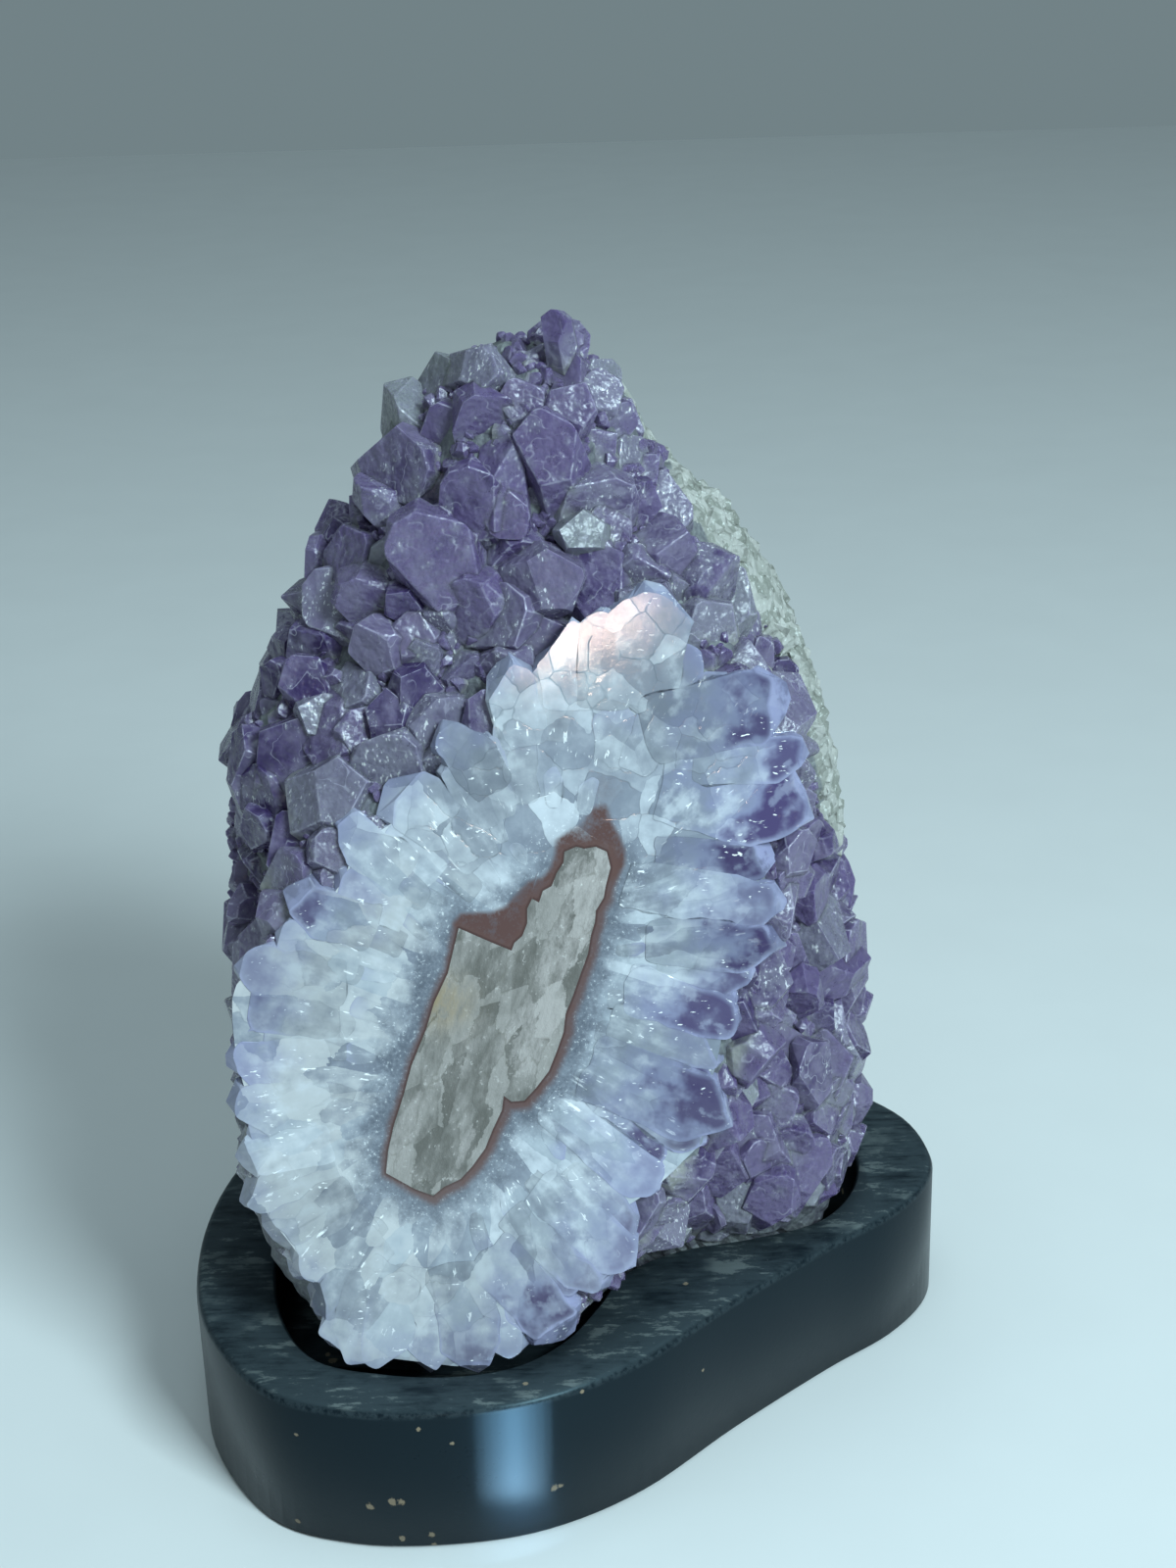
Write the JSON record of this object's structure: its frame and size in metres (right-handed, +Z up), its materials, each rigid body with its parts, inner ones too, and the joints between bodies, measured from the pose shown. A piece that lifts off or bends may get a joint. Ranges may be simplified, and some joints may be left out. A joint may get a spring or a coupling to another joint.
{
  "type": "amethyst freeform on a wooden stand",
  "caption": "Upright freeform of amethyst druse with one cut and polished quartz face around a calcite core, resting in a routed black wooden stand.",
  "frame": {"origin": "on the surface the stand stands on, under the middle of the object's bounding box", "axes": "+Z up, the polished face looks along -Y and a little up, +X to the right as the face is looked at"},
  "size_m": [0.1375, 0.1151, 0.1955],
  "materials": {
    "amethyst": "clear to cloudy quartz, purple at the crystal tips and white at their roots, one face polished",
    "black_wood": "black paint, worn and scuffed on the top face, smooth and half gloss on the side"
  },
  "bodies": {
    "root": {"amethyst_cluster": "amethyst", "wood_stand": "black_wood"}
  },
  "joints": []
}
